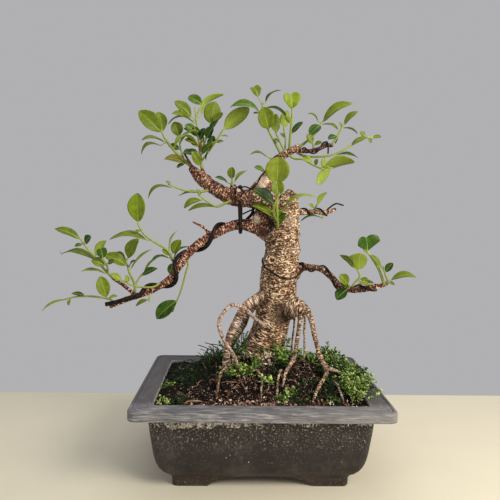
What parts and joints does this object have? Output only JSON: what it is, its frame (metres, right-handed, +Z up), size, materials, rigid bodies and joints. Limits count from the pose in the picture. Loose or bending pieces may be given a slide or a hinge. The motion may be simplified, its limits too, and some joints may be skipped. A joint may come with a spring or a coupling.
{
  "type": "potted bonsai tree",
  "caption": "Banyan fig bonsai with aerial roots, wired branches and oval leaves, standing in soil and green ground cover in a rectangular plastic training pot.",
  "frame": {"origin": "middle of the whole object's box on the surface that the pot stands on", "axes": "+X to the right and -Y towards the viewer of the pot's front, +Z up; the pot's long side runs along X"},
  "size_m": [0.3892, 0.204, 0.4259],
  "materials": {
    "pot_plastic": "matte",
    "potting_soil": "matte",
    "bark": "matte",
    "ground_cover": "matte",
    "leaf": "satin",
    "training_wire": "satin"
  },
  "bodies": {
    "root": {"pot": "pot_plastic", "soil": "potting_soil", "tree": "bark", "coverRight": "ground_cover", "coverTrunk": "ground_cover", "coverLeft": "ground_cover", "coverFront": "ground_cover", "coverCorner": "ground_cover", "shootCrownOuter": "leaf", "shootCrownInner": "leaf", "shootCrownLow": "leaf", "shootGuy": "leaf", "shootCrownTop": "leaf", "shootTopA": "leaf", "shootTopB": "leaf", "shootTopC": "leaf", "shootLimbUnder": "leaf", "shootTopRight": "leaf", "shootTopEnd": "leaf", "shootLong": "leaf", "shootTwigTuft": "leaf", "shootHanging": "leaf", "shootFront": "leaf", "shootTwigRight": "leaf", "shootTwigUnder": "leaf", "shootFarLeft": "leaf", "shootFarTip": "leaf", "shootLeftHigh": "leaf", "shootLeftLow": "leaf", "shootLeftPale": "leaf", "shootDangling": "leaf", "shootLeftUnder": "leaf", "shootRightTall": "leaf", "shootRightInner": "leaf", "shootRightKnee": "leaf", "shootRightEnd": "leaf", "shootRightPale": "leaf", "wireThick": "training_wire", "wireRightLimb": "training_wire", "wireRightTwig": "training_wire", "wireTopTwig": "training_wire", "guyTie": "training_wire"}
  },
  "joints": []
}
